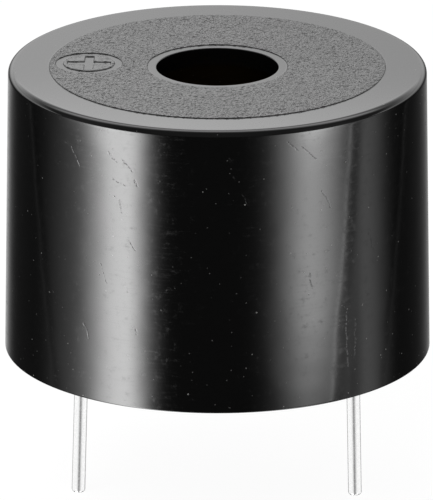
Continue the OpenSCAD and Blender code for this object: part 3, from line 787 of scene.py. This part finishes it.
# %% Scratches
# Each runs from one point to another, in millimetres round the wall and up it, with its width
WALL_SCRATCHES = [(-8.47, 14.3, -8.09, 13.7, 0.07), (-8.09, 13.7, -7.8, 13.19, 0.05),
                  (-7.51, 4.3, -7.3, 4.0, 0.08), (-7.3, 4.0, -7.16, 3.51, 0.06),
                  (-5.91, 14.41, -5.34, 13.98, 0.07), (-5.09, 14.19, -4.36, 13.5, 0.05),
                  (-5.64, 12.97, -4.78, 12.64, 0.05), (-5.2, 11.78, -5.07, 11.17, 0.08),
                  (-4.3, 13.05, -4.12, 12.67, 0.08), (-4.21, 4.71, -4.09, 4.26, 0.07),
                  (-4.64, 9.58, -4.16, 9.07, 0.04), (-6.39, 8.03, -5.99, 6.9, 0.04),
                  (9.54, 9.18, 10.01, 8.03, 0.07), (4.21, 15.36, 4.85, 14.78, 0.05),
                  (5.09, 14.97, 6.0, 14.16, 0.05), (5.54, 7.6, 5.72, 6.78, 0.07),
                  (6.36, 12.28, 6.87, 11.28, 0.05), (1.02, 14.59, 1.13, 14.31, 0.07),
                  (1.24, 13.57, 1.34, 13.34, 0.06), (1.73, 12.58, 2.0, 12.0, 0.04),
                  (7.9, 5.23, 7.82, 3.98, 0.07), (7.82, 3.86, 7.94, 1.88, 0.06),
                  (8.52, 4.52, 8.44, 2.29, 0.07)]
SCRATCH_CORE, SCRATCH_DEPTH = 0.2, 0.004
# A scratch wanders a little, and it is broken where a second pattern is low
WANDER_SCALE, WANDER_REACH = 1.6, 0.25
BROKEN_SCALE, BROKEN_LEVELS, BROKEN_LEAST = 7.0, (0.42, 0.58), 0.05
# Scratches lie on the front half alone, full from this far in front of the middle
FRONT_FADE = 2


def drawn(tree, plane, lines):
    """How strongly a point of the plane lies on one of the lines."""
    strongest = 0.0
    for x, y, end_x, end_y, width in lines:
        run = Vector((end_x - x, end_y - y, 0))
        off = add_node(tree, "VectorMath", {0: plane, 1: (x, y, 0)}, operation="SUBTRACT")
        along = add_node(tree, "VectorMath", {0: off, 1: run / run.length_squared},
                         operation="DOT_PRODUCT").outputs["Value"]
        along = add_node(tree, "Clamp", {0: along}).outputs[0]
        foot = add_node(tree, "VectorMath", {0: run, "Scale": along}, operation="SCALE").outputs[0]
        gap = add_node(tree, "VectorMath", {0: off, 1: foot}, operation="DISTANCE").outputs["Value"]
        stroke = rise(tree, gap, width, SCRATCH_CORE * width)
        strongest = add_node(tree, "Math", {0: strongest, 1: stroke}, operation="MAXIMUM")
    return strongest


shake = add_node(tree, "TexNoise",
                 {"Vector": on_wall, "Scale": WANDER_SCALE, "Detail": 1.0}).outputs["Color"]
shake = add_node(tree, "VectorMath", {0: shake, 1: (0.5, 0.5, 0.5)}, operation="SUBTRACT")
bent = add_node(tree, "VectorMath", {0: shake, 1: (WANDER_REACH, WANDER_REACH, 0), 2: on_wall},
                operation="MULTIPLY_ADD")
broken = add_node(tree, "TexNoise", {"Vector": on_wall, "Scale": BROKEN_SCALE, "Detail": 2.0})
marks = add_node(tree, "Math",
                 {0: drawn(tree, bent, WALL_SCRATCHES),
                  1: rise(tree, broken, *BROKEN_LEVELS, BROKEN_LEAST)}, operation="MULTIPLY")
marks = add_node(tree, "Math", {0: marks, 1: rise(tree, xyz.outputs["Y"], 0.0, -FRONT_FADE * MM)},
                 operation="MULTIPLY")
marks = add_node(tree, "Math", {0: marks, 1: below_edge}, operation="MULTIPLY")
relief_height = add_node(tree, "Math", {0: grain, 1: sink}, operation="ADD")
relief_height = add_node(tree, "Math", {0: marks, 1: -SCRATCH_DEPTH * MM, 2: relief_height},
                         operation="MULTIPLY_ADD")

# %% The case's finish
# Roughness of the polished wall and of the ring, what scuffs and wear add to it at most, and what
# dust and scratches raise it to
WALL_ROUGH, RING_ROUGH = 0.09, 0.16
SCUFF_ADDS, WEAR_ADDS = 0.1, 0.14
DUST_ROUGH, SCRATCH_ROUGH = 0.7, 0.26
SCUFF_LEVELS = (0.45, 0.8)
WEAR_SCALE, WEAR_LEVELS = 2.2, (0.5, 0.72)
relief_bump = add_node(tree, "Bump", {"Height": relief_height, "Distance": 1.0, "Strength": 1.0})
sheen = rise(tree, on_ring, 0.0, 1.0, WALL_ROUGH, RING_ROUGH)
scuffed = add_node(tree, "Math", {0: rise(tree, scuffs, *SCUFF_LEVELS), 1: below_edge},
                   operation="MULTIPLY")
sheen = add_node(tree, "Math", {0: scuffed, 1: SCUFF_ADDS, 2: sheen}, operation="MULTIPLY_ADD")
wear = add_node(tree, "TexNoise",
                {"Vector": on_wall, "Scale": WEAR_SCALE, "Detail": 4.0, "Roughness": 0.7})
worn = add_node(tree, "Math", {0: rise(tree, wear, *WEAR_LEVELS), 1: below_edge},
                operation="MULTIPLY")
sheen = add_node(tree, "Math", {0: worn, 1: WEAR_ADDS, 2: sheen}, operation="MULTIPLY_ADD")
dusty = add_node(tree, "Math", {0: dust, 1: DUST_ROUGH}, operation="MULTIPLY")
sheen = add_node(tree, "Math", {0: sheen, 1: dusty}, operation="MAXIMUM")
scratched = add_node(tree, "Math", {0: marks, 1: SCRATCH_ROUGH}, operation="MULTIPLY")
sheen = add_node(tree, "Math", {0: sheen, 1: scratched}, operation="MAXIMUM")
colour = add_node(tree, "Mix", {0: dust, 6: linear("#050505"), 7: linear("#8a8a88")},
                  data_type="RGBA").outputs[2]
colour = add_node(tree, "Mix", {0: marks, 6: colour, 7: linear("#282828")},
                  data_type="RGBA").outputs[2]
end_finish(tree, {"Base Color": colour, "Roughness": sheen, "IOR": 1.53,
                  "Normal": relief_bump.outputs[0]})
cover(abs_black, "case")

# %% [markdown]
# ## The leads: tinned copper wire
# Hot-dipped tin is a pale, soft metal skin. Handling dulls it and leaves fine marks along and
# across the wire, so its mirror image is broad and a little speckled.

# %% Tinned wire
FLECK_SIZE, FLECK_DEPTH = 0.12, 0.006
TIN_ROUGH_LEAST, TIN_ROUGH_MOST = 0.16, 0.34
tinned, tree, place = new_finish("tinned copper wire")
flecks = add_node(tree, "TexNoise",
                  {"Vector": place, "Scale": per_mm(FLECK_SIZE), "Detail": 3.0, "Roughness": 0.6})
dull = add_node(tree, "MapRange", {"Value": flecks, "To Min": TIN_ROUGH_LEAST,
                                   "To Max": TIN_ROUGH_MOST}).outputs[0]
shade = add_node(tree, "Mix", {0: flecks, 6: linear("#c6c6c6"), 7: linear("#e4e4e4")},
                 data_type="RGBA").outputs[2]
pitted = add_node(tree, "Bump", {"Height": flecks, "Distance": FLECK_DEPTH * MM, "Strength": 1.0})
end_finish(tree, {"Base Color": shade, "Metallic": 1.0, "Roughness": dull,
                  "Normal": pitted.outputs[0]})
cover(tinned, "positive_wire", "negative_wire")

# %% [markdown]
# ## The parts inside
# The resin seal shows from below, and the rest is sealed in. Each still gets the finish of its
# real material, so that a cut-away view of the part reads as a real one. They share one recipe: two
# shades, mottled at the size of the material's own grain, a roughness that follows the mottling
# and a shallow relief.

# %% One recipe for the inner materials
# The pattern's values between which it goes from one shade to the other
MOTTLE_LEVELS = (0.3, 0.7)
def mottled(name, dark, pale, size, depth, smooth, rough, metallic=0.0, ior=1.5, stretch=(1, 1, 1)):
    """A finish whose colour, roughness and relief follow one pattern, sizes in millimetres."""
    finish, tree, place = new_finish(name)
    drawn_out = add_node(tree, "VectorMath", {0: place, 1: stretch}, operation="MULTIPLY")
    pattern = add_node(tree, "TexNoise",
                       {"Vector": drawn_out, "Scale": per_mm(size), "Detail": 3.0,
                        "Roughness": 0.55})
    share = rise(tree, pattern, *MOTTLE_LEVELS)
    relief = add_node(tree, "Bump", {"Height": pattern, "Distance": depth * MM, "Strength": 1.0})
    settings = {"Base Color": add_node(tree, "Mix", {0: share, 6: linear(dark), 7: linear(pale)},
                                       data_type="RGBA").outputs[2],
                "Roughness": rise(tree, pattern, *MOTTLE_LEVELS, smooth, rough),
                "Metallic": metallic, "Normal": relief.outputs[0]}
    if not metallic:
        settings["IOR"] = ior
    end_finish(tree, settings)
    return finish


# %% Finishes of the inner parts
cover(mottled("cast black epoxy resin", "#0b0b0c", "#141416", 1.5, 0.02, 0.12, 0.28, ior=1.55),
      "base_seal")
cover(mottled("rolled brass", "#b98f3e", "#d0a653", 0.3, 0.001, 0.25, 0.4, 1.0, stretch=(0.1, 1, 1)),
      "diaphragm_plate")
cover(mottled("fired piezo ceramic", "#c6bda2", "#ddd6c0", 0.08, 0.003, 0.55, 0.75, ior=2.0),
      "piezo_ceramic")
cover(mottled("fired silver", "#c4c4be", "#e2e2dd", 0.06, 0.002, 0.35, 0.55, 1.0),
      "main_electrode", "feedback_electrode")
cover(mottled("cured silicone", "#d8d8d0", "#ebebe4", 0.6, 0.02, 0.3, 0.5, ior=1.41),
      "diaphragm_adhesive")
cover(mottled("glass-epoxy laminate", "#23552f", "#346f42", 0.35, 0.004, 0.3, 0.5, ior=1.55),
      "circuit_board")
cover(mottled("etched copper foil", "#a9623a", "#c47a4c", 0.15, 0.002, 0.3, 0.45, 1.0),
      "copper_tracks")
cover(mottled("sintered ferrite", "#2c2c2e", "#454547", 0.07, 0.005, 0.55, 0.8, ior=2.2),
      "choke_core")
cover(mottled("enamelled copper winding", "#7d3517", "#b35a2c", 0.14, 0.03, 0.15, 0.3, ior=1.6,
              stretch=(0.02, 0.02, 1)), "choke_winding")
cover(mottled("moulded epoxy", "#161617", "#232325", 0.08, 0.004, 0.45, 0.65, ior=1.55),
      "transistor_body")
cover(mottled("resistor lacquer", "#b89a68", "#cdb284", 0.4, 0.01, 0.3, 0.45, ior=1.55),
      "bias_resistor", "feedback_resistor")
cover(mottled("dipped capacitor lacquer", "#9c5216", "#c06d26", 0.5, 0.02, 0.12, 0.3, ior=1.55),
      "supply_capacitor")
cover(mottled("red PVC sleeve", "#a01f17", "#b92a20", 0.3, 0.006, 0.35, 0.5, ior=1.53),
      "drive_wire")
cover(mottled("black PVC sleeve", "#161616", "#232323", 0.3, 0.006, 0.35, 0.5, ior=1.53),
      "plate_wire")
cover(mottled("blue PVC sleeve", "#245492", "#3265a8", 0.3, 0.006, 0.35, 0.5, ior=1.53),
      "feedback_wire")
cover(mottled("solder", "#9fa1a1", "#c2c4c3", 0.25, 0.01, 0.25, 0.45, 1.0),
      "diaphragm_solder", "board_solder", "lead_solder")
cover(tinned, "choke_leads", "transistor_leads", "bias_resistor_leads", "feedback_resistor_leads",
      "supply_capacitor_leads")
bare = [name for name, node in nodes.items()
        if not any(slot.material and slot.material.use_nodes for slot in node.material_slots)]
print("nodes without a finish of their own:", bare)

# %% End of the scene
print("scene set up")
